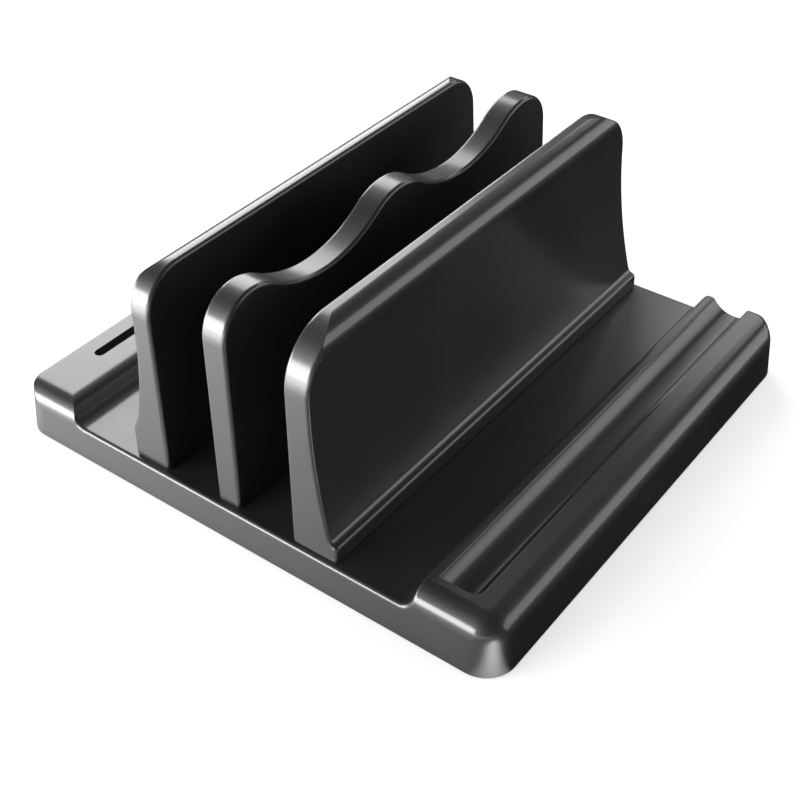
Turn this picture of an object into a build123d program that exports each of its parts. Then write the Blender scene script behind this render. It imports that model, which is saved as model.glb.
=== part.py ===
"""Vertical laptop stand: a tray with a slotted block, a pen groove and three uprights.

Millimetres, +Z up. X runs across the laptop bays and -Y is the front. The origin
lies on the desk, under the middle of the tray.
"""
import os
from math import acos, atan, cos, degrees, radians, sin, sqrt, tan

from build123d import *

os.makedirs("parts", exist_ok=True)

# Tray
tray_width = 200.0
tray_depth = 191.2
tray_corner_radius = 10.5
wall_draft = 5.5
floor_height = 12.0
lip_radius = 1.5
tray_wall = 3.0
tray_skin = 2.6
core_height = 11.8
rib_thickness = 1.8
rib_depth = 5.5
left_rib_x = -60.0
right_rib_x = 55.0
cross_rib_pitch = 30.0
foot_proud = 1.0

# Raised block on the left
block_height = 18.0
block_width = 26.0
block_shoulder_radius = 8.0
block_rounding = 7.5
block_slot_width = 4.0
block_slot_depth = 3.0
block_slot_end_distance = 28.1
block_slot_inset = 10.5

# Raised rail on the right
rail_height = 20.0
rail_width = 31.6
rail_foot_radius = 4.4
rail_rounding = 7.5
rail_edge_radius = 0.6
groove_width = 13.7
groove_depth = 5.6
groove_inset = 14.5
groove_left_radius = 9.6
groove_right_radius = 4.0
groove_front_wall = 11.5
groove_corner_radius = 3.0

# All uprights
front_setback = 3.6
upright_back_setback = 7.7
back_lean = 4.75
edge_radius = 1.3
foot_chamfer = 0.4
upright_wall = 2.5
upright_front_wall = 5.0
upright_back_wall = 10.0

# Middle upright, with a wavy top
middle_offset = -4.6
middle_thickness = 9.2
middle_height = 77.4
crest_back_setback = 20.5
crest_depth = 11.0
crest_radius = 22.0
crest_setback = 12.4
crest_corner_radius = 14.0
crest_end_turn = 60.0
middle_core_drop = 20.0
middle_core_draft = 1.0

# Outer uprights, at the widest setting of their bays
left_slot = 21.8
right_slot = 22.3
narrowest_slot = 12.0
left_height = 74.5
left_foot_width = 14.7
left_blade_thickness = 7.6
left_toe_height = 10.8
left_toe_slope = 65.0
left_corner_radius = 15.0
right_height = 77.9
right_foot_width = 17.7
right_blade_thickness = 9.3
right_toe_height = 6.2
right_toe_slope = 17.0
right_corner_radius = 19.0
right_front_setback = 2.9
right_back_setback = 3.2
right_back_lean = 6.0
blade_waist_drop = 20.0
blade_crown_radius = 6.3
toe_ledge = 2.6
toe_hollow_radius = 2.6
toe_edge_radius = 1.4
blade_core_drop = 10.0

# Fasteners and their fits
screw_diameter = 3.0
screw_clearance = 0.4
thread_clearance = 0.1
socket_head_diameter = 5.5
socket_head_height = 3.0
socket_key = 2.5
socket_depth = 1.6
head_chamfer = 0.3
tip_chamfer = 0.4
clamp_end_distance = 34.95
clamp_inset = 7.0
clamp_web = 10.0
washer_diameter = 8.0
washer_thickness = 0.8
insert_diameter = 4.6
insert_length = 6.0
insert_clearance = 0.1
insert_recess = 0.3
insert_chamfer = 0.2
insert_waist_width = 1.0
insert_waist_depth = 0.3
tip_clearance = 1.0
middle_screw_reach = 9.0

# Bottom cover, its screws and the feet
cover_thickness = 2.0
cover_wall = 1.8
cover_clearance = 0.3
cover_screw_columns = 3
cover_screw_rows = 2
cover_screw_side_inset = 38.0
cover_screw_end_inset = 11.6
cover_screw_length = 8.0
cover_head_diameter = 5.6
cover_head_taper = 45.0
cover_boss_diameter = 7.0
pad_diameter = 14.0
pad_thickness = 2.0
pad_inset = 20.0
pad_clearance = 0.2
pad_edge_radius = 0.5

# Margin for picking faces and edges by their place
margin = 0.1

# Heights above the desk
rim_z = foot_proud
floor_z = rim_z + floor_height
block_z = rim_z + block_height
rail_z = rim_z + rail_height
cover_z = rim_z + cover_thickness
ceiling_z = floor_z - tray_skin

# Places across the tray
tray_left = -tray_width / 2
tray_right = tray_width / 2
tray_front = -tray_depth / 2
tray_back = tray_depth / 2
rail_x = tray_right - rail_width
middle_left = middle_offset - middle_thickness / 2
middle_right = middle_offset + middle_thickness / 2
left_face_x = middle_left - left_slot
right_face_x = middle_right + right_slot
left_travel = left_slot - narrowest_slot
right_travel = right_slot - narrowest_slot
left_clamp_x = left_face_x - clamp_inset
right_clamp_x = right_face_x + clamp_inset

# Places along the tray
upright_front = tray_front + front_setback
upright_back = tray_back - upright_back_setback
clamp_y = {"front": upright_front + clamp_end_distance, "rear": upright_back - clamp_end_distance}

# Shoulder between the block and the floor: two arcs of one radius
shoulder_turn = degrees(acos(1 - (block_height - floor_height) / (2 * block_shoulder_radius)))
shoulder_run = block_shoulder_radius * sin(radians(shoulder_turn))
shoulder_x = tray_left + block_width - shoulder_run
shoulder_end_x = shoulder_x + 2 * shoulder_run

# Ribs and cover screws under the floor
rib_lines_x = (left_rib_x, middle_left - rib_thickness, middle_right + rib_thickness, right_rib_x)
rib_lines_y = (-cross_rib_pitch, 0.0, cross_rib_pitch)
on_floor = (Align.CENTER, Align.CENTER, Align.MIN)
cover_screw_places = GridLocations(
    tray_width / 2 - cover_screw_side_inset,
    tray_depth - 2 * cover_screw_end_inset,
    cover_screw_columns,
    cover_screw_rows,
)

cover_head_height = (cover_head_diameter - screw_diameter) / 2 / tan(radians(cover_head_taper))
pad_places = GridLocations(tray_width - 2 * pad_inset, tray_depth - 2 * pad_inset, 2, 2)

# Clamp stations: side, centre at the widest setting, centre of its slot, travel
clamp_x = {"left": left_clamp_x, "right": right_clamp_x}
slot_x = {"left": left_clamp_x + left_travel / 2, "right": right_clamp_x - right_travel / 2}
travel = {"left": left_travel, "right": right_travel}



def pocket_spans(front_y, back_y):
    """Hollow stretches of an upright, between its end walls and the clamp webs."""
    return (
        (front_y + upright_front_wall, clamp_y["front"] - clamp_web / 2),
        (clamp_y["front"] + clamp_web / 2, clamp_y["rear"] - clamp_web / 2),
        (clamp_y["rear"] + clamp_web / 2, back_y - upright_back_wall),
    )


def trough_profile(drop):
    """Open space above the block, the floor and the rail's inner wall, grown by drop."""
    sky_z = rail_z + tray_width
    with BuildSketch(Plane.XZ.offset(-tray_depth)) as profile:
        with BuildLine():
            top = Line((tray_left * 2, block_z - drop), (shoulder_x, block_z - drop))
            round_over = JernArc(top @ 1, top % 1, block_shoulder_radius - drop, -shoulder_turn)
            hollow = JernArc(round_over @ 1, round_over % 1, block_shoulder_radius + drop, shoulder_turn)
            floor = Line(hollow @ 1, (rail_x - rail_foot_radius, floor_z - drop))
            rail_foot = JernArc(floor @ 1, floor % 1, rail_foot_radius + drop, 90)
            rail_wall = Line(rail_foot @ 1, (rail_x + drop, sky_z))
            Polyline(rail_wall @ 1, (tray_left * 2, sky_z), top @ 0)
        make_face()
    return profile.sketch


# Air above the tray's floor, between the block and the rail
with BuildPart() as trough:
    extrude(trough_profile(0), amount=2 * tray_depth)

# The half of the tray whose top edge is fully rounded, which becomes the rail
with BuildPart() as rail_half:
    with BuildSketch(Plane.XY.offset(rim_z)):
        RectangleRounded(tray_width, tray_depth, tray_corner_radius)
    extrude(amount=rail_height, taper=wall_draft)
    fillet(rail_half.faces().sort_by(Axis.Z)[-1].edges(), rail_rounding)
    split(bisect_by=Plane.YZ, keep=Keep.TOP)

# Air in front of and behind the block's rounded edges
with BuildPart() as block_air:
    block_inset = block_height * tan(radians(wall_draft))
    with Locations(((tray_left + shoulder_end_x) / 2, 0, block_z - block_rounding)):
        Box(shoulder_end_x - tray_left, 2 * tray_depth, tray_depth, align=on_floor)
    with BuildSketch(Plane.YZ.offset(2 * tray_left)) as block_side:
        with BuildLine():
            Polyline(
                (tray_front, rim_z),
                (tray_front + block_inset, block_z),
                (tray_back - block_inset, block_z),
                (tray_back, rim_z),
                close=True,
            )
        make_face()
        fillet(block_side.vertices().group_by(Axis.Y)[-1], block_rounding)
    extrude(amount=2 * tray_width, mode=Mode.SUBTRACT)

# Pen groove: a lopsided channel, closed at the front and open at the back
with BuildPart() as groove:
    groove_right = tray_right - groove_inset
    groove_left = groove_right - groove_width
    groove_front = tray_front + groove_front_wall
    groove_floor_z = rail_z - groove_depth
    arc_rise = groove_left_radius - groove_depth
    arc_run = sqrt(groove_left_radius ** 2 - arc_rise ** 2)
    arc_turn = degrees(acos(arc_rise / groove_left_radius))
    with BuildSketch(Plane.XZ.offset(-tray_depth)) as groove_section:
        with BuildLine():
            bank = JernArc(
                (groove_left, rail_z),
                (cos(radians(arc_turn)), -sin(radians(arc_turn))),
                groove_left_radius,
                arc_turn,
            )
            bed = Line(bank @ 1, (groove_right - groove_right_radius, groove_floor_z))
            corner = JernArc(bed @ 1, bed % 1, groove_right_radius, 90)
            Polyline(
                corner @ 1,
                (groove_right, rail_z + groove_depth),
                (groove_left, rail_z + groove_depth),
                bank @ 0,
            )
        make_face()
    extrude(amount=2 * tray_depth)
    with BuildSketch(Plane.XY.offset(groove_floor_z)) as groove_plan:
        with Locations((groove_left, groove_front)):
            Rectangle(groove_width, 2 * tray_depth, align=Align.MIN)
        front_right = groove_plan.vertices().sort_by(Axis.Y)[:2].sort_by(Axis.X)[-1]
        fillet(front_right, groove_corner_radius)
    extrude(amount=2 * groove_depth, mode=Mode.INTERSECT)

# Hollow of the tray's underside, leaving ribs and the bosses of the cover's screws
with BuildPart() as core:
    with BuildSketch(Plane.XY.offset(rim_z)):
        RectangleRounded(
            tray_width - 2 * tray_wall,
            tray_depth - 2 * tray_wall,
            tray_corner_radius - tray_wall,
        )
    extrude(amount=core_height, taper=wall_draft)
    extrude(trough_profile(tray_skin), amount=2 * tray_depth, mode=Mode.SUBTRACT)
    for rib_x in rib_lines_x:
        with Locations((rib_x, 0, ceiling_z - rib_depth)):
            Box(rib_thickness, tray_depth, tray_depth, align=on_floor, mode=Mode.SUBTRACT)
    for rib_y in rib_lines_y:
        with Locations((0, rib_y, ceiling_z - rib_depth)):
            Box(tray_width, rib_thickness, tray_depth, align=on_floor, mode=Mode.SUBTRACT)
    with BuildSketch(Plane.XY.offset(cover_z)):
        with cover_screw_places:
            Circle(cover_boss_diameter / 2)
    extrude(amount=core_height, mode=Mode.SUBTRACT)

# Tray: floor, block and rail in one moulding
with BuildPart() as base:
    with BuildSketch(Plane.XY.offset(rim_z)):
        RectangleRounded(tray_width, tray_depth, tray_corner_radius)
    extrude(amount=rail_height, taper=wall_draft)
    split(bisect_by=Plane.YZ, keep=Keep.BOTTOM)
    add(rail_half.part)
    add(trough.part, mode=Mode.SUBTRACT)

    # Soft lip along the front and back of the floor and up the block's shoulder
    floor_faces = base.faces().filter_by(
        lambda face: abs(face.normal_at(face.center()).Y) < 0.001
        and floor_z - margin < face.center().Z < block_z + margin
        and face.center().X < rail_x
    )
    lip_edges = floor_faces.edges().filter_by(
        lambda edge: abs(edge.tangent_at(0.5).Y) < 0.5 and edge.center().X < rail_x
    )
    fillet(lip_edges, lip_radius)
    add(block_air.part, mode=Mode.SUBTRACT)

    add(groove.part, mode=Mode.SUBTRACT)
    rail_edges = base.edges().filter_by(Axis.Y).filter_by(
        lambda edge: abs(edge.center().Z - rail_z) < margin and edge.center().X < groove_right + margin
    )
    fillet(rail_edges, rail_edge_radius)
    with BuildSketch(Plane.XY.offset(block_z - block_slot_depth)):
        with Locations((tray_left + block_slot_inset, 0)):
            SlotOverall(
                tray_depth - 2 * block_slot_end_distance, block_slot_width, rotation=90
            )
    extrude(amount=2 * block_slot_depth, mode=Mode.SUBTRACT)

    add(core.part, mode=Mode.SUBTRACT)
    with BuildSketch(Plane.XY.offset(rim_z)):
        RectangleRounded(
            tray_width - 2 * cover_wall,
            tray_depth - 2 * cover_wall,
            tray_corner_radius - cover_wall,
        )
    extrude(amount=cover_thickness, mode=Mode.SUBTRACT)

    # Slots for the clamp screws, holes for the middle screws and for the cover's screws
    with BuildSketch(Plane.XY.offset(ceiling_z)):
        for side in ("left", "right"):
            with Locations(*[(slot_x[side], y) for y in clamp_y.values()]):
                SlotCenterToCenter(travel[side], screw_diameter + screw_clearance)
        with Locations(*[(middle_offset, y) for y in clamp_y.values()]):
            Circle((screw_diameter + screw_clearance) / 2)
    extrude(amount=tray_skin, mode=Mode.SUBTRACT)
    with BuildSketch(Plane.XY.offset(cover_z)):
        with cover_screw_places:
            Circle((screw_diameter + thread_clearance) / 2)
    extrude(amount=cover_screw_length - cover_thickness + tip_clearance, mode=Mode.SUBTRACT)
base.part.label = "base"
export_step(base.part, "parts/base.step")


def outer_upright(height, thickness, foot_width, toe, front_y, back_y, lean_angle, corner_radius):
    """Blade with its inner face on x = 0 and its toe towards +x, hollow from below."""
    toe_height, toe_slope = toe
    top_z = floor_z + height
    waist_z = top_z - blade_waist_drop
    toe_x = foot_width - toe_ledge
    toe_z = floor_z + toe_height
    ledge_z = toe_z + toe_ledge * tan(radians(toe_slope))
    bow = toe_x - thickness
    face_radius = ((waist_z - ledge_z) ** 2 + bow ** 2) / (2 * bow)
    face_centre_x = thickness + face_radius
    top_x = face_centre_x - sqrt(face_radius ** 2 - blade_waist_drop ** 2)
    lean = height * tan(radians(lean_angle))
    with BuildPart() as blade:
        # Section across the blade: a straight inner face and a hollow outer one
        with BuildSketch(Plane.XZ.offset(tray_front)) as section:
            with BuildLine():
                Line((0, floor_z), (0, top_z))
                Line((0, top_z), (top_x, top_z))
                ThreePointArc((top_x, top_z), (thickness, waist_z), (toe_x, ledge_z))
                Line((toe_x, ledge_z), (foot_width, toe_z))
                Line((foot_width, toe_z), (foot_width, floor_z))
                Line((foot_width, floor_z), (0, floor_z))
            make_face()
            fillet(section.vertices().sort_by_distance((toe_x, ledge_z, 0))[0], toe_hollow_radius)
            fillet(section.vertices().sort_by_distance((foot_width, toe_z, 0))[0], toe_edge_radius)
        extrude(amount=tray_depth)

        # Side view: a plumb front, a leaning back and two rounded top corners
        with BuildSketch(Plane.YZ) as side_view:
            with BuildLine():
                Polyline(
                    (front_y, floor_z),
                    (front_y, top_z),
                    (back_y - lean, top_z),
                    (back_y, floor_z),
                    close=True,
                )
            make_face()
            fillet(side_view.vertices().group_by(Axis.Y)[-1], corner_radius)
        extrude(amount=2 * foot_width, mode=Mode.INTERSECT)
        rim_faces = blade.faces().filter_by(
            lambda face: abs(face.normal_at(face.center()).X) < margin / 5
            and face.center().Z > floor_z + margin
        )
        rim_edges = rim_faces.edges().filter_by(
            lambda edge: abs(edge.tangent_at(0.5).X) < 0.95 and edge.center().Z > floor_z + margin
        )
        fillet(rim_edges, edge_radius)

        # Crown: the outer top edge rolls over at a larger radius
        crown_z = top_z - blade_crown_radius
        crown_reach = face_radius + blade_crown_radius
        crown_x = face_centre_x - sqrt(crown_reach ** 2 - (crown_z - waist_z) ** 2)
        touch_z = crown_z - blade_crown_radius * (crown_z - waist_z) / crown_reach
        with BuildSketch(Plane.XZ.offset(tray_front)):
            with Locations((crown_x, touch_z)):
                Rectangle(foot_width, foot_width, align=Align.MIN)
            with Locations((crown_x, crown_z)):
                Circle(blade_crown_radius, mode=Mode.SUBTRACT)
        extrude(amount=tray_depth, mode=Mode.SUBTRACT)
        chamfer(blade.faces().sort_by(Axis.Z)[0].outer_wire().edges(), foot_chamfer)

        # Pockets between the end walls and the webs that hold the clamp inserts
        inner_radius = face_radius + upright_wall
        pocket_top_z = waist_z - blade_core_drop
        shoulder_x_top = face_centre_x - sqrt(inner_radius ** 2 - (waist_z - pocket_top_z) ** 2)
        shoulder_x_low = face_centre_x - sqrt(inner_radius ** 2 - (waist_z - ledge_z) ** 2)
        middle_z = (pocket_top_z + ledge_z) / 2
        shoulder_x_mid = face_centre_x - sqrt(inner_radius ** 2 - (waist_z - middle_z) ** 2)
        for start_y, end_y in pocket_spans(front_y, back_y):
            with BuildSketch(Plane.XZ.offset(-end_y)):
                with BuildLine():
                    Line((upright_wall, floor_z), (upright_wall, pocket_top_z))
                    Line((upright_wall, pocket_top_z), (shoulder_x_top, pocket_top_z))
                    ThreePointArc(
                        (shoulder_x_top, pocket_top_z),
                        (shoulder_x_mid, middle_z),
                        (shoulder_x_low, ledge_z),
                    )
                    Line((shoulder_x_low, ledge_z), (shoulder_x_low, floor_z))
                    Line((shoulder_x_low, floor_z), (upright_wall, floor_z))
                make_face()
            extrude(amount=end_y - start_y, mode=Mode.SUBTRACT)

        # Holes for the threaded inserts and the screw tips above them
        with BuildSketch(Plane.XY.offset(floor_z)):
            with Locations(*[(clamp_inset, y) for y in clamp_y.values()]):
                Circle((insert_diameter + insert_clearance) / 2)
        extrude(amount=insert_recess + insert_length, mode=Mode.SUBTRACT)
    return blade.part


right_front = tray_front + right_front_setback
right_blade = outer_upright(
    right_height,
    right_blade_thickness,
    right_foot_width,
    (right_toe_height, right_toe_slope),
    right_front,
    tray_back - right_back_setback,
    right_back_lean,
    right_corner_radius,
)
left_blade = outer_upright(
    left_height,
    left_blade_thickness,
    left_foot_width,
    (left_toe_height, left_toe_slope),
    upright_front,
    upright_back,
    back_lean,
    left_corner_radius,
)

with BuildPart() as right_upright:
    with Locations((right_face_x, 0, 0)):
        add(right_blade)
right_upright.part.label = "right_upright"
export_step(right_upright.part, "parts/right_upright.step")

with BuildPart() as left_upright:
    with Locations((-left_face_x, 0, 0)):
        add(left_blade)
    mirror(about=Plane.YZ, mode=Mode.REPLACE)
left_upright.part.label = "left_upright"
export_step(left_upright.part, "parts/left_upright.step")

# Middle upright: three crests joined by wider dips, all as tangent arcs
with BuildPart() as middle_upright:
    crest_z = floor_z + middle_height
    first_crest = upright_front + crest_setback
    crest_pitch = (upright_back - crest_back_setback - first_crest) / 2
    half_pitch = crest_pitch / 2
    arc_sum = (half_pitch ** 2 + crest_depth ** 2) / (2 * crest_depth)
    wave_turn = 2 * atan(crest_depth / half_pitch)
    crest_half = crest_radius * sin(wave_turn)
    inflection_z = crest_z - crest_radius * (1 - cos(wave_turn))
    crest_lines = [first_crest + n * crest_pitch for n in range(3)]
    end_run = crest_radius * sin(radians(crest_end_turn))
    end_z = crest_z - crest_radius * (1 - cos(radians(crest_end_turn)))
    middle_lean = middle_height * tan(radians(back_lean))
    with BuildSketch(Plane.YZ.offset(middle_left)) as wave:
        with BuildLine():
            first, centre, last = crest_lines
            ThreePointArc(
                (first - end_run, end_z),
                (first, crest_z),
                (first + crest_half, inflection_z),
            )
            ThreePointArc(
                (first + crest_half, inflection_z),
                (first + half_pitch, crest_z - crest_depth),
                (centre - crest_half, inflection_z),
            )
            ThreePointArc(
                (centre - crest_half, inflection_z),
                (centre, crest_z),
                (centre + crest_half, inflection_z),
            )
            ThreePointArc(
                (centre + crest_half, inflection_z),
                (centre + half_pitch, crest_z - crest_depth),
                (last - crest_half, inflection_z),
            )
            ThreePointArc(
                (last - crest_half, inflection_z),
                (last, crest_z),
                (last + end_run, end_z),
            )
            Polyline(
                (last + end_run, end_z),
                (tray_back, end_z),
                (tray_back, floor_z),
                (tray_front, floor_z),
                (tray_front, end_z),
                (first - end_run, end_z),
            )
        make_face()
        with BuildLine():
            Polyline(
                (upright_front, floor_z),
                (upright_front, crest_z),
                (upright_back - middle_lean, crest_z),
                (upright_back, floor_z),
                close=True,
            )
        make_face(mode=Mode.INTERSECT)
        top_corners = wave.vertices().filter_by(lambda corner: corner.Y > floor_z + crest_depth)
        end_corners = top_corners.sort_by(Axis.X)
        fillet(ShapeList([end_corners[0], end_corners[-1]]), crest_corner_radius)
    extrude(amount=middle_thickness)
    side_edges = middle_upright.faces().filter_by(Plane.YZ).edges()
    fillet(side_edges.filter_by(lambda edge: edge.center().Z > floor_z + margin), edge_radius)
    chamfer(middle_upright.faces().sort_by(Axis.Z)[0].outer_wire().edges(), foot_chamfer)

    with BuildSketch(Plane.XY.offset(floor_z)):
        for start_y, end_y in pocket_spans(upright_front, upright_back):
            with Locations((middle_offset, (start_y + end_y) / 2)):
                Rectangle(middle_thickness - 2 * upright_wall, end_y - start_y)
    extrude(
        amount=middle_height - crest_depth - middle_core_drop,
        taper=middle_core_draft,
        mode=Mode.SUBTRACT,
    )
    with BuildSketch(Plane.XY.offset(floor_z)):
        with Locations(*[(middle_offset, y) for y in clamp_y.values()]):
            Circle((screw_diameter + thread_clearance) / 2)
    extrude(amount=middle_screw_reach + tip_clearance, mode=Mode.SUBTRACT)
middle_upright.part.label = "middle_upright"
export_step(middle_upright.part, "parts/middle_upright.step")


def socket_screw(length):
    """Socket head screw, standing on its head below z = 0 with its thread going up."""
    with BuildPart() as screw:
        with BuildSketch(Plane.XY.offset(-socket_head_height)):
            Circle(socket_head_diameter / 2)
        extrude(amount=socket_head_height)
        chamfer(screw.faces().sort_by(Axis.Z)[0].edges(), head_chamfer)
        with BuildSketch(Plane.XY):
            Circle(screw_diameter / 2)
        extrude(amount=length)
        chamfer(screw.faces().sort_by(Axis.Z)[-1].edges(), tip_chamfer)
        with BuildSketch(Plane.XY.offset(-socket_head_height)):
            RegularPolygon(socket_key / 2, 6, major_radius=False)
        extrude(amount=socket_depth, mode=Mode.SUBTRACT)
    return screw.part


# Clamp hardware: screw and washer under the floor, threaded insert in the upright's foot
clamp_length = washer_thickness + tray_skin + insert_recess + insert_length - tip_clearance
clamp_screw_shape = socket_screw(clamp_length)
middle_screw_shape = socket_screw(tray_skin + middle_screw_reach)

with BuildPart() as washer_shape:
    with BuildSketch(Plane.XY):
        Circle(washer_diameter / 2)
        Circle((screw_diameter + screw_clearance) / 2, mode=Mode.SUBTRACT)
    extrude(amount=-washer_thickness)

with BuildPart() as insert_shape:
    with BuildSketch(Plane.XZ) as insert_half:
        with Locations(((screw_diameter + thread_clearance) / 2, 0)):
            Rectangle(
                (insert_diameter - screw_diameter - thread_clearance) / 2,
                insert_length,
                align=Align.MIN,
            )
        with Locations((insert_diameter / 2, insert_length / 2)):
            Rectangle(2 * insert_waist_depth, insert_waist_width, mode=Mode.SUBTRACT)
    revolve(axis=Axis.Z)
    chamfer(insert_shape.faces().sort_by(Axis.Z)[-1].outer_wire().edges(), insert_chamfer)

for side in ("left", "right"):
    for end in ("front", "rear"):
        station = (clamp_x[side], clamp_y[end])
        with BuildPart() as clamp_screw:
            with Locations((*station, ceiling_z - washer_thickness)):
                add(clamp_screw_shape)
        clamp_screw.part.label = f"{side}_{end}_clamp_screw"
        export_step(clamp_screw.part, f"parts/{side}_{end}_clamp_screw.step")

        with BuildPart() as clamp_washer:
            with Locations((*station, ceiling_z)):
                add(washer_shape.part)
        clamp_washer.part.label = f"{side}_{end}_clamp_washer"
        export_step(clamp_washer.part, f"parts/{side}_{end}_clamp_washer.step")

        with BuildPart() as threaded_insert:
            with Locations((*station, floor_z + insert_recess)):
                add(insert_shape.part)
        threaded_insert.part.label = f"{side}_{end}_insert"
        export_step(threaded_insert.part, f"parts/{side}_{end}_insert.step")

for end in ("front", "rear"):
    with BuildPart() as middle_screw:
        with Locations((middle_offset, clamp_y[end], ceiling_z)):
            add(middle_screw_shape)
    middle_screw.part.label = f"middle_{end}_screw"
    export_step(middle_screw.part, f"parts/middle_{end}_screw.step")

# Bottom cover, flush with the tray's rim, with key slots under the clamp screws
with BuildPart() as bottom_cover:
    cover_inset = 2 * (cover_wall + cover_clearance)
    with BuildSketch(Plane.XY.offset(rim_z)):
        RectangleRounded(
            tray_width - cover_inset,
            tray_depth - cover_inset,
            tray_corner_radius - cover_wall - cover_clearance,
        )
    extrude(amount=cover_thickness)
    with BuildSketch(Plane.XY.offset(rim_z)):
        with pad_places:
            Circle((pad_diameter + pad_clearance) / 2)
    extrude(amount=pad_thickness - foot_proud, mode=Mode.SUBTRACT)
    with BuildSketch(Plane.XY.offset(rim_z)):
        for side in ("left", "right"):
            with Locations(*[(slot_x[side], y) for y in clamp_y.values()]):
                SlotCenterToCenter(travel[side], screw_diameter + screw_clearance)
    extrude(amount=cover_thickness, mode=Mode.SUBTRACT)
    with BuildSketch(Plane.XY.offset(rim_z)):
        with cover_screw_places:
            Circle((cover_head_diameter + screw_clearance) / 2)
    extrude(amount=cover_head_height, taper=cover_head_taper, mode=Mode.SUBTRACT)
    with BuildSketch(Plane.XY.offset(rim_z)):
        with cover_screw_places:
            Circle((screw_diameter + screw_clearance) / 2)
    extrude(amount=cover_thickness, mode=Mode.SUBTRACT)
bottom_cover.part.label = "bottom_cover"
export_step(bottom_cover.part, "parts/bottom_cover.step")

# Countersunk screws of the cover
with BuildPart() as cover_screw_shape:
    with BuildSketch(Plane.XZ):
        with BuildLine():
            Polyline(
                (0, 0),
                (cover_head_diameter / 2, 0),
                (screw_diameter / 2, cover_head_height),
                (screw_diameter / 2, cover_screw_length - tip_chamfer),
                (screw_diameter / 2 - tip_chamfer, cover_screw_length),
                (0, cover_screw_length),
                close=True,
            )
        make_face()
    revolve(axis=Axis.Z)
    with BuildSketch(Plane.XY):
        RegularPolygon(socket_key / 2, 6, major_radius=False)
    extrude(amount=cover_head_height, mode=Mode.SUBTRACT)

for number, place in enumerate(cover_screw_places.local_locations, start=1):
    with BuildPart() as cover_screw:
        with Locations(Location((place.position.X, place.position.Y, rim_z))):
            add(cover_screw_shape.part)
    cover_screw.part.label = f"cover_screw_{number}"
    export_step(cover_screw.part, f"parts/cover_screw_{number}.step")

# Rubber feet in the cover's recesses
with BuildPart() as pad_shape:
    with BuildSketch(Plane.XY):
        Circle(pad_diameter / 2)
    extrude(amount=pad_thickness)
    fillet(pad_shape.faces().sort_by(Axis.Z)[0].edges(), pad_edge_radius)

for number, place in enumerate(pad_places.local_locations, start=1):
    with BuildPart() as rubber_foot:
        with Locations(Location((place.position.X, place.position.Y, 0))):
            add(pad_shape.part)
    rubber_foot.part.label = f"rubber_foot_{number}"
    export_step(rubber_foot.part, f"parts/rubber_foot_{number}.step")
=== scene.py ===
"""Vertical laptop stand: its tray, the finishes of the moulding and hardware, and the studio.

Metres, +Z up. X runs across the laptop bays and -Y is the front. The shapes come from
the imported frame, apart from the rail's back end, which is drawn out here. The file gives
them their surfaces and sets the stage, the lamps and the camera.
"""
from math import cos, pi, sin, sqrt, tan

import bmesh
import bpy
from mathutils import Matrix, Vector


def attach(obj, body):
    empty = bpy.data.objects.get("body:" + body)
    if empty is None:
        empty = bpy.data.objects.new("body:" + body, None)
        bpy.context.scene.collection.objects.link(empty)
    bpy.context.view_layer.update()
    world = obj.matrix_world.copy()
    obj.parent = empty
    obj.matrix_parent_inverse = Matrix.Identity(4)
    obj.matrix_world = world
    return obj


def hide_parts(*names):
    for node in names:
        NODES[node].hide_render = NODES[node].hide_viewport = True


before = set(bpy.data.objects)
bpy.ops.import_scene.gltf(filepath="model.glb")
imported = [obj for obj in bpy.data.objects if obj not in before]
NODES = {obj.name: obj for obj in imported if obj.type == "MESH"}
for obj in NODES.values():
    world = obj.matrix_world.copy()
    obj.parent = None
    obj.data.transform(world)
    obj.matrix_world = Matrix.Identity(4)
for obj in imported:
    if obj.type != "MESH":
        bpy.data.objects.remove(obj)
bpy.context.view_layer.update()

bl_info = {
    "name": "Vertical laptop stand",
    "version": (1, 0, 0),
    "blender": (4, 5, 0),
    "location": "3D View > Sidebar > Laptop stand",
    "description": "Surfaces, stage, light and camera for a vertical laptop stand",
    "category": "Object",
}

# The stand's pieces by the finish they share. The tray joins the uprights when it is made.
UPRIGHTS = [node for name, node in NODES.items() if name.endswith("_upright")]
COVERS = [NODES["bottom_cover"]]
FEET = [node for name, node in NODES.items() if name.startswith("rubber_foot")]
INSERTS = [node for name, node in NODES.items() if name.endswith("_insert")]
SCREWS = [node for name, node in NODES.items() if "screw" in name or "washer" in name]


class BodyFinish(bpy.types.PropertyGroup):
    """Surface of the black moulded plastic."""

    colour: bpy.props.FloatVectorProperty(
        name="Colour", description="Colour of the plastic", subtype="COLOR", size=3,
        min=0.0, max=1.0, default=(0.0060, 0.0060, 0.0068),
    )
    worn_colour: bpy.props.FloatVectorProperty(
        name="Worn colour", description="Colour where hands have polished it", subtype="COLOR",
        size=3, min=0.0, max=1.0, default=(0.0105, 0.0105, 0.0115),
    )
    roughness: bpy.props.FloatProperty(
        name="Roughness", description="Roughness of the smooth moulding", subtype="FACTOR",
        min=0.0, max=1.0, default=0.52,
    )
    smear: bpy.props.FloatProperty(
        name="Smear", description="How much rougher the handled patches are", subtype="FACTOR",
        min=0.0, max=1.0, default=0.06,
    )
    grain_size: bpy.props.FloatProperty(
        name="Grain size", description="Size of the fine moulding grain", subtype="DISTANCE",
        unit="LENGTH", min=0.0001, max=0.01, default=0.0006,
    )


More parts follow.
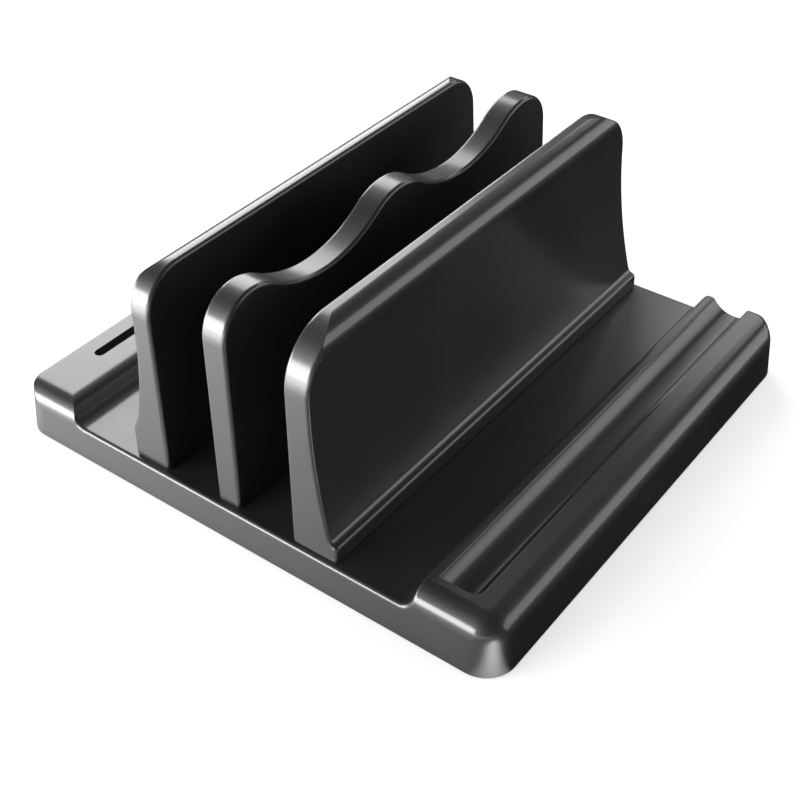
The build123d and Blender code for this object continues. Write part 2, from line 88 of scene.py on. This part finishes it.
class HardwareFinish(bpy.types.PropertyGroup):
    """Surfaces of the cover, fasteners and feet."""

    cover: bpy.props.FloatVectorProperty(
        name="Cover", description="Colour of the bottom cover", subtype="COLOR", size=3,
        min=0.0, max=1.0, default=(0.014, 0.014, 0.015),
    )
    steel: bpy.props.FloatVectorProperty(
        name="Steel", description="Colour of the plated screws and washers", subtype="COLOR",
        size=3, min=0.0, max=1.0, default=(0.50, 0.51, 0.53),
    )
    brass: bpy.props.FloatVectorProperty(
        name="Brass", description="Colour of the threaded inserts", subtype="COLOR", size=3,
        min=0.0, max=1.0, default=(0.62, 0.47, 0.22),
    )
    rubber: bpy.props.FloatVectorProperty(
        name="Rubber", description="Colour of the feet", subtype="COLOR", size=3,
        min=0.0, max=1.0, default=(0.022, 0.022, 0.024),
    )


class StageSettings(bpy.types.PropertyGroup):
    """Floor, lamps and camera."""

    floor_size: bpy.props.FloatProperty(
        name="Floor size", description="Side of the square floor", subtype="DISTANCE",
        unit="LENGTH", min=1.0, max=40.0, default=12.0,
    )
    floor_colour: bpy.props.FloatVectorProperty(
        name="Floor colour", description="Colour of the pale floor", subtype="COLOR", size=3,
        min=0.0, max=1.0, default=(0.86, 0.86, 0.86),
    )
    lift: bpy.props.FloatProperty(
        name="Lift", description="Light added to the floor for the camera alone",
        min=0.0, max=2.0, default=0.55,
    )
    sky: bpy.props.FloatProperty(
        name="Sky", description="Even light from all sides", min=0.0, max=4.0, default=0.35,
    )
    sky_gloss: bpy.props.FloatProperty(
        name="Sky in gloss", description="Brightness of the room in reflections",
        min=0.0, max=4.0, default=0.05,
    )
    focal_length: bpy.props.FloatProperty(
        name="Focal length", description="Lens of the camera in millimetres",
        min=10.0, max=300.0, default=62.08,
    )
    camera_place: bpy.props.FloatVectorProperty(
        name="Camera place", description="Where the camera stands", subtype="TRANSLATION",
        unit="LENGTH", size=3, default=(0.2296, -0.3167, 0.3172),
    )


# The slow smears on every surface: the noise's detail and distortion, and the noise
# values below which a surface is clean and above which it is fully smeared
SMEAR = {"detail": 4.0, "distortion": 0.8, "clean_below": 0.42, "smeared_above": 0.68}
GRAIN_DETAIL = 2.0

# How a smear changes the colour, the roughness of a clean and of a smeared spot, and the
# scales of smears and grain on small metal pieces
SMEARED = {"cover": 1.7, "steel": 0.8, "brass": 0.75, "rubber": 1.6}
ROUGHNESS = {
    "cover": (0.5, 0.62),
    "steel": (0.24, 0.4),
    "brass": (0.28, 0.42),
    "rubber": (0.68, 0.82),
}
METAL_SCALES = {"smear": 300.0, "grain": 2500.0}


def tree_of(material):
    """Turns on a material's nodes and gives its tree with only the output left."""
    material.use_nodes = True
    tree = material.node_tree
    tree.nodes.clear()
    output = tree.nodes.new("ShaderNodeOutputMaterial")
    return tree, output


def plastic_group():
    """Node group: slow smears and fine grain, as masks and a height."""
    name = "Handled moulding"
    if name in bpy.data.node_groups:
        return bpy.data.node_groups[name]
    group = bpy.data.node_groups.new(name, "ShaderNodeTree")
    sockets = group.interface
    coordinates = sockets.new_socket(
        name="Vector", in_out="INPUT", socket_type="NodeSocketVector"
    )
    coordinates.hide_value = True
    for label in ("Smear scale", "Grain scale"):
        sockets.new_socket(name=label, in_out="INPUT", socket_type="NodeSocketFloat")
    for label in ("Smear", "Grain"):
        sockets.new_socket(name=label, in_out="OUTPUT", socket_type="NodeSocketFloat")

    nodes, links = group.nodes, group.links
    inputs = nodes.new("NodeGroupInput")
    outputs = nodes.new("NodeGroupOutput")

    smear = nodes.new("ShaderNodeTexNoise")
    smear.inputs["Detail"].default_value = SMEAR["detail"]
    smear.inputs["Distortion"].default_value = SMEAR["distortion"]
    links.new(inputs.outputs["Vector"], smear.inputs["Vector"])
    links.new(inputs.outputs["Smear scale"], smear.inputs["Scale"])
    smear_range = nodes.new("ShaderNodeMapRange")
    smear_range.inputs["From Min"].default_value = SMEAR["clean_below"]
    smear_range.inputs["From Max"].default_value = SMEAR["smeared_above"]
    links.new(smear.outputs["Fac"], smear_range.inputs["Value"])
    links.new(smear_range.outputs["Result"], outputs.inputs["Smear"])

    grain = nodes.new("ShaderNodeTexNoise")
    grain.inputs["Detail"].default_value = GRAIN_DETAIL
    links.new(inputs.outputs["Vector"], grain.inputs["Vector"])
    links.new(inputs.outputs["Grain scale"], grain.inputs["Scale"])
    links.new(grain.outputs["Fac"], outputs.inputs["Grain"])
    return group


def surface(name, colours, roughness, scales, bump, constants):
    """A material whose colour and roughness vary slowly, with a fine grain on top.

    colours and roughness hold the value of a clean spot and of a smeared one.
    """
    material = bpy.data.materials.new(name)
    tree, output = tree_of(material)
    nodes, links = tree.nodes, tree.links
    shader = nodes.new("ShaderNodeBsdfPrincipled")
    for socket, value in constants.items():
        shader.inputs[socket].default_value = value
    links.new(shader.outputs["BSDF"], output.inputs["Surface"])

    coordinates = nodes.new("ShaderNodeTexCoord")
    group = nodes.new("ShaderNodeGroup")
    group.node_tree = plastic_group()
    group.inputs["Smear scale"].default_value = scales["smear"]
    group.inputs["Grain scale"].default_value = scales["grain"]
    links.new(coordinates.outputs["Object"], group.inputs["Vector"])

    colour = nodes.new("ShaderNodeMix")
    colour.data_type = "RGBA"
    colour.inputs["A"].default_value = (*colours[0], 1.0)
    colour.inputs["B"].default_value = (*colours[1], 1.0)
    links.new(group.outputs["Smear"], colour.inputs["Factor"])
    links.new(colour.outputs["Result"], shader.inputs["Base Color"])

    rough = nodes.new("ShaderNodeMapRange")
    rough.inputs["To Min"].default_value = roughness[0]
    rough.inputs["To Max"].default_value = roughness[1]
    links.new(group.outputs["Smear"], rough.inputs["Value"])
    links.new(rough.outputs["Result"], shader.inputs["Roughness"])

    height = nodes.new("ShaderNodeBump")
    height.inputs["Strength"].default_value = bump["strength"]
    height.inputs["Distance"].default_value = bump["distance"]
    links.new(group.outputs["Grain"], height.inputs["Height"])
    links.new(height.outputs["Normal"], shader.inputs["Normal"])
    return material


def lighter(colour, factor):
    """A colour times a factor."""
    return [value * factor for value in colour]


def dress(pieces, material):
    """Gives pieces one material."""
    for piece in pieces:
        piece.data.materials.clear()
        piece.data.materials.append(material)


# The rail's back end, which the CAD rounds off and the photograph shows nearly sharp.
# Lengths in metres: the end leans by the draft from foot_y, and left_x and start_y bound
# the part of the tray that is drawn out.
RAIL_END = {
    "left_x": 0.060,
    "start_y": 0.060,
    "foot_y": 0.0957,
    "top_z": 0.021,
    "draft": 5.5 * pi / 180,
    "cad_radius": 0.0075,
    "radius": 0.0015,
}
# Points of the CAD's loose triangles that are closer than this are one point
MERGE_DISTANCE = 1e-6
# Half the height over which the slope of the stretch is measured
SLOPE_STEP = 0.00005


def rail_reach(height, radius):
    """How far back the rail reaches at a height if its back edge has this rounding."""
    draft = RAIL_END["draft"]
    centre_z = RAIL_END["top_z"] - radius
    if height <= centre_z + radius * sin(draft):
        return RAIL_END["foot_y"] - height * tan(draft)
    centre_y = RAIL_END["foot_y"] - centre_z * tan(draft) - radius / cos(draft)
    rise = min(height - centre_z, radius)
    return centre_y + sqrt(radius ** 2 - rise ** 2)


def rail_stretch(height):
    """Factor along Y that turns the CAD's rounded end into the sharper one."""
    start = RAIL_END["start_y"]
    wanted = rail_reach(height, RAIL_END["radius"]) - start
    return wanted / (rail_reach(height, RAIL_END["cad_radius"]) - start)


def in_rail_end(point):
    """Whether a point of the tray belongs to the part that is drawn out."""
    return point.x > RAIL_END["left_x"] and point.y > RAIL_END["start_y"]


def stretched_normal(normal, point):
    """The normal of the CAD surface at a point, after the rail's end is drawn out."""
    if not in_rail_end(point):
        return normal
    factor = rail_stretch(point.z)
    rise = rail_stretch(point.z + SLOPE_STEP) - rail_stretch(point.z - SLOPE_STEP)
    slope = rise / (2 * SLOPE_STEP)
    across = normal.y / factor
    up = normal.z - across * (point.y - RAIL_END["start_y"]) * slope
    return Vector((normal.x, across, up)).normalized()


class STAND_OT_tray(bpy.types.Operator):
    """Makes the tray from the CAD's base, with the rail's back end nearly sharp."""

    bl_idname = "laptop_stand.tray"
    bl_label = "Tray"

    def execute(self, context):
        source = NODES["base"].data
        shape = bmesh.new()
        shape.from_mesh(source)
        origin = shape.faces.layers.int.new("origin")
        for face in shape.faces:
            face[origin] = face.index
        bmesh.ops.remove_doubles(shape, verts=shape.verts, dist=MERGE_DISTANCE)

        normals = []
        for face in shape.faces:
            corners = {
                corner: source.vertices[source.loops[corner].vertex_index].co
                for corner in source.polygons[face[origin]].loop_indices
            }
            for loop in face.loops:
                place = loop.vert.co
                nearest = min(corners, key=lambda corner: (corners[corner] - place).length)
                normals.append(stretched_normal(source.corner_normals[nearest].vector, place))
        for vertex in shape.verts:
            if in_rail_end(vertex.co):
                drawn_out = (vertex.co.y - RAIL_END["start_y"]) * rail_stretch(vertex.co.z)
                vertex.co.y = RAIL_END["start_y"] + drawn_out

        mesh = bpy.data.meshes.new("tray")
        shape.to_mesh(mesh)
        shape.free()
        mesh.shade_smooth()
        mesh.normals_split_custom_set(normals)
        tray = bpy.data.objects.new("tray", mesh)
        context.collection.objects.link(tray)
        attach(tray, "stand")
        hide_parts("base")
        return {"FINISHED"}


class STAND_OT_body(bpy.types.Operator):
    """Finishes the tray and the uprights as satin black moulded plastic."""

    bl_idname = "laptop_stand.body"
    bl_label = "Body finish"

    def execute(self, context):
        finish = context.scene.stand_body
        material = surface(
            "satin_black_plastic",
            (finish.colour, finish.worn_colour),
            (finish.roughness, finish.roughness + finish.smear),
            {"smear": 16.0, "grain": 1.0 / finish.grain_size},
            {"strength": 0.05, "distance": 0.00004},
            {"IOR": 1.7, "Coat Weight": 1.0, "Coat Roughness": 0.2, "Coat IOR": 1.6},
        )
        dress([*UPRIGHTS, bpy.data.objects["tray"]], material)
        return {"FINISHED"}


class STAND_OT_cover(bpy.types.Operator):
    """Finishes the bottom cover as grained black plastic."""

    bl_idname = "laptop_stand.cover"
    bl_label = "Cover finish"

    def execute(self, context):
        colour = context.scene.stand_hardware.cover
        material = surface(
            "grained_cover_plastic",
            (colour, lighter(colour, SMEARED["cover"])),
            ROUGHNESS["cover"],
            {"smear": 22.0, "grain": 900.0},
            {"strength": 0.35, "distance": 0.0001},
            {"IOR": 1.5},
        )
        dress(COVERS, material)
        return {"FINISHED"}


class STAND_OT_fasteners(bpy.types.Operator):
    """Finishes the screws and washers as plated steel and the inserts as brass."""

    bl_idname = "laptop_stand.fasteners"
    bl_label = "Fastener finish"

    def execute(self, context):
        finish = context.scene.stand_hardware
        steel = surface(
            "plated_screw_steel",
            (finish.steel, lighter(finish.steel, SMEARED["steel"])),
            ROUGHNESS["steel"],
            METAL_SCALES,
            {"strength": 0.15, "distance": 0.00003},
            {"Metallic": 1.0},
        )
        brass = surface(
            "turned_brass",
            (finish.brass, lighter(finish.brass, SMEARED["brass"])),
            ROUGHNESS["brass"],
            METAL_SCALES,
            {"strength": 0.2, "distance": 0.00003},
            {"Metallic": 1.0},
        )
        dress(SCREWS, steel)
        dress(INSERTS, brass)
        return {"FINISHED"}


class STAND_OT_feet(bpy.types.Operator):
    """Finishes the feet as matt rubber."""

    bl_idname = "laptop_stand.feet"
    bl_label = "Rubber feet finish"

    def execute(self, context):
        colour = context.scene.stand_hardware.rubber
        material = surface(
            "foot_rubber",
            (colour, lighter(colour, SMEARED["rubber"])),
            ROUGHNESS["rubber"],
            {"smear": 120.0, "grain": 1800.0},
            {"strength": 0.4, "distance": 0.00008},
            {"IOR": 1.5},
        )
        dress(FEET, material)
        return {"FINISHED"}


# Camera: its angles in radians, its sensor in millimetres and its near clipping in metres
CAMERA_AZIMUTH = 36.52 * pi / 180
CAMERA_ELEVATION = 39.26 * pi / 180
SENSOR_WIDTH = 36.0
CLIP_START = 0.01

# Softboxes: name, centre, aim, width, height, power in watts
SOFTBOXES = (
    ("left_softbox", (-0.92, 0.66, 0.62), (-0.10, 0.0, 0.02), 0.80, 0.95, 10.5),
    ("back_softbox", (-0.10, 1.30, 0.85), (0.0, 0.0, 0.02), 0.7, 0.30, 1.6),
    ("front_softbox", (-0.55, -0.85, 0.20), (0.0, -0.05, 0.05), 1.15, 0.38, 17.0),
    ("right_softbox", (0.92, 0.70, 0.34), (0.05, 0.0, 0.03), 1.4, 0.66, 4.8),
)

# Painted reflection: floor glow seen by the gloss alone. Columns: axis, where the fade starts
# and ends, brightness at each end
PAINTED_REFLECTION_FADES = (
    ("X", -0.16, 0.10, 1.6, 0.25),
    ("Y", -0.100, -0.086, 1.0, 0.05),
)
# Painted highlights added to that glow, seen only in reflections: a streak off the front right
# corner, and a floor that grows brighter from its place towards the front left
PAINTED_HIGHLIGHT_PATCHES = (
    {
        "fade": "SPHERICAL", "place": (0.118, -0.106, 0.0), "turn": -31 * pi / 180,
        "size": (0.036, 0.012, 1.0), "strength": 7.0,
    },
    {
        "fade": "LINEAR", "place": (-0.07, -0.19, 0.0), "turn": -118 * pi / 180,
        "size": (0.16, 1.0, 1.0), "strength": 5.0,
    },
)


def softbox(name, centre, aim, width, height, power):
    """A soft rectangular lamp that faces its aim."""
    lamp = bpy.data.lights.new(name, "AREA")
    lamp.shape = "RECTANGLE"
    lamp.size = width
    lamp.size_y = height
    lamp.energy = power
    lamp_object = bpy.data.objects.new(name, lamp)
    lamp_object.location = centre
    facing = Vector(aim) - Vector(centre)
    lamp_object.rotation_euler = facing.to_track_quat("-Z", "Y").to_euler()
    lamp_object.visible_camera = False
    bpy.context.collection.objects.link(lamp_object)


def painted_reflection_brightness(tree):
    """What the gloss sees of the floor: a painted reflection that fades to the right and the
    back.

    Gives the socket with the brightness, to which each patch adds its painted highlight.
    """
    nodes, links = tree.nodes, tree.links
    place = nodes.new("ShaderNodeTexCoord")
    axes = nodes.new("ShaderNodeSeparateXYZ")
    links.new(place.outputs["Object"], axes.inputs["Vector"])
    fall_off = nodes.new("ShaderNodeMath")
    fall_off.operation = "MULTIPLY"
    for slot, (axis, start, end, bright, dim) in enumerate(PAINTED_REFLECTION_FADES):
        fade = nodes.new("ShaderNodeMapRange")
        fade.inputs["From Min"].default_value = start
        fade.inputs["From Max"].default_value = end
        fade.inputs["To Min"].default_value = bright
        fade.inputs["To Max"].default_value = dim
        links.new(axes.outputs[axis], fade.inputs["Value"])
        links.new(fade.outputs["Result"], fall_off.inputs[slot])

    total = fall_off.outputs["Value"]
    for patch in PAINTED_HIGHLIGHT_PATCHES:
        patch_place = nodes.new("ShaderNodeMapping")
        patch_place.vector_type = "TEXTURE"
        patch_place.inputs["Location"].default_value = patch["place"]
        patch_place.inputs["Rotation"].default_value = (0.0, 0.0, patch["turn"])
        patch_place.inputs["Scale"].default_value = patch["size"]
        links.new(place.outputs["Object"], patch_place.inputs["Vector"])
        fade = nodes.new("ShaderNodeTexGradient")
        fade.gradient_type = patch["fade"]
        links.new(patch_place.outputs["Vector"], fade.inputs["Vector"])
        added = nodes.new("ShaderNodeMath")
        added.operation = "MULTIPLY_ADD"
        links.new(fade.outputs["Fac"], added.inputs[0])
        added.inputs[1].default_value = patch["strength"]
        links.new(total, added.inputs[2])
        total = added.outputs["Value"]
    return total


def floor_material(stage):
    """Pale floor for the camera, with its shadows, and for the gloss a glow of painted
    reflection and highlights.
    """
    material = bpy.data.materials.new("pale_floor")
    tree, output = tree_of(material)
    nodes, links = tree.nodes, tree.links
    diffuse = nodes.new("ShaderNodeBsdfDiffuse")
    diffuse.inputs["Color"].default_value = (*stage.floor_colour, 1.0)
    lift = nodes.new("ShaderNodeEmission")
    path = nodes.new("ShaderNodeLightPath")
    strength = nodes.new("ShaderNodeMath")
    strength.operation = "MULTIPLY"
    strength.inputs[1].default_value = stage.lift
    links.new(path.outputs["Is Camera Ray"], strength.inputs[0])
    links.new(strength.outputs["Value"], lift.inputs["Strength"])
    seen = nodes.new("ShaderNodeAddShader")
    links.new(diffuse.outputs["BSDF"], seen.inputs[0])
    links.new(lift.outputs["Emission"], seen.inputs[1])

    # Glow seen only by glossy rays: painted reflection and highlights on the plastic
    painted_reflection = nodes.new("ShaderNodeEmission")
    links.new(painted_reflection_brightness(tree), painted_reflection.inputs["Strength"])
    mirrored = nodes.new("ShaderNodeMath")
    mirrored.operation = "MAXIMUM"
    links.new(path.outputs["Is Glossy Ray"], mirrored.inputs[0])
    links.new(path.outputs["Is Transmission Ray"], mirrored.inputs[1])
    choice = nodes.new("ShaderNodeMixShader")
    links.new(mirrored.outputs["Value"], choice.inputs["Fac"])
    links.new(seen.outputs["Shader"], choice.inputs[1])
    links.new(painted_reflection.outputs["Emission"], choice.inputs[2])
    links.new(choice.outputs["Shader"], output.inputs["Surface"])
    return material


def studio_world(stage):
    """Sets a world that is white for the camera and a dim even room for all else."""
    world = bpy.data.worlds.new("studio")
    world.use_nodes = True
    tree = world.node_tree
    nodes, links = tree.nodes, tree.links
    nodes.clear()
    output = nodes.new("ShaderNodeOutputWorld")
    background = nodes.new("ShaderNodeBackground")
    path = nodes.new("ShaderNodeLightPath")
    dim = nodes.new("ShaderNodeMix")
    dim.data_type = "FLOAT"
    dim.inputs["A"].default_value = stage.sky
    dim.inputs["B"].default_value = stage.sky_gloss
    links.new(path.outputs["Is Glossy Ray"], dim.inputs["Factor"])
    strength = nodes.new("ShaderNodeMix")
    strength.data_type = "FLOAT"
    strength.inputs["B"].default_value = 1.0
    links.new(dim.outputs["Result"], strength.inputs["A"])
    links.new(path.outputs["Is Camera Ray"], strength.inputs["Factor"])
    links.new(strength.outputs["Result"], background.inputs["Strength"])
    links.new(background.outputs["Background"], output.inputs["Surface"])
    bpy.context.scene.world = world


class STAND_OT_stage(bpy.types.Operator):
    """Lays the pale floor and sets the lamps, the world and the camera."""

    bl_idname = "laptop_stand.stage"
    bl_label = "Stage"

    def execute(self, context):
        stage = context.scene.stand_stage
        bpy.ops.mesh.primitive_plane_add(size=stage.floor_size, location=(0.0, 0.0, 0.0))
        floor = context.object
        floor.name = "floor"
        floor.data.materials.append(floor_material(stage))
        for box in SOFTBOXES:
            softbox(*box)
        studio_world(stage)

        camera = bpy.data.cameras.new("camera")
        camera.lens = stage.focal_length
        camera.sensor_width = SENSOR_WIDTH
        camera.clip_start = CLIP_START
        camera_object = bpy.data.objects.new("camera", camera)
        camera_object.location = stage.camera_place
        camera_object.rotation_euler = (pi / 2 - CAMERA_ELEVATION, 0.0, CAMERA_AZIMUTH)
        context.collection.objects.link(camera_object)
        context.scene.camera = camera_object
        context.scene.view_settings.view_transform = "Standard"
        return {"FINISHED"}


class STAND_PT_panel(bpy.types.Panel):
    """Sizes, colours and steps of the laptop stand."""

    bl_idname = "STAND_PT_panel"
    bl_label = "Laptop stand"
    bl_space_type = "VIEW_3D"
    bl_region_type = "UI"
    bl_category = "Laptop stand"

    def draw(self, context):
        layout = self.layout
        for settings in (
            context.scene.stand_body, context.scene.stand_hardware, context.scene.stand_stage
        ):
            column = layout.column()
            for name in settings.__annotations__:
                column.prop(settings, name)
        for operator in OPERATORS:
            layout.operator(operator.bl_idname)


OPERATORS = (
    STAND_OT_tray, STAND_OT_body, STAND_OT_cover, STAND_OT_fasteners, STAND_OT_feet,
    STAND_OT_stage,
)
CLASSES = (BodyFinish, HardwareFinish, StageSettings, *OPERATORS, STAND_PT_panel)


def register():
    """Registers the classes and puts the settings on the scene."""
    for cls in CLASSES:
        bpy.utils.register_class(cls)
    bpy.types.Scene.stand_body = bpy.props.PointerProperty(type=BodyFinish)
    bpy.types.Scene.stand_hardware = bpy.props.PointerProperty(type=HardwareFinish)
    bpy.types.Scene.stand_stage = bpy.props.PointerProperty(type=StageSettings)


def unregister():
    """Takes the settings and the classes away again."""
    del bpy.types.Scene.stand_stage
    del bpy.types.Scene.stand_hardware
    del bpy.types.Scene.stand_body
    for cls in reversed(CLASSES):
        bpy.utils.unregister_class(cls)


def main():
    """Runs every step in order."""
    register()
    bpy.ops.laptop_stand.stage()
    bpy.ops.laptop_stand.tray()
    bpy.ops.laptop_stand.body()
    bpy.ops.laptop_stand.cover()
    bpy.ops.laptop_stand.fasteners()
    bpy.ops.laptop_stand.feet()


if __name__ == "__main__":
    main()
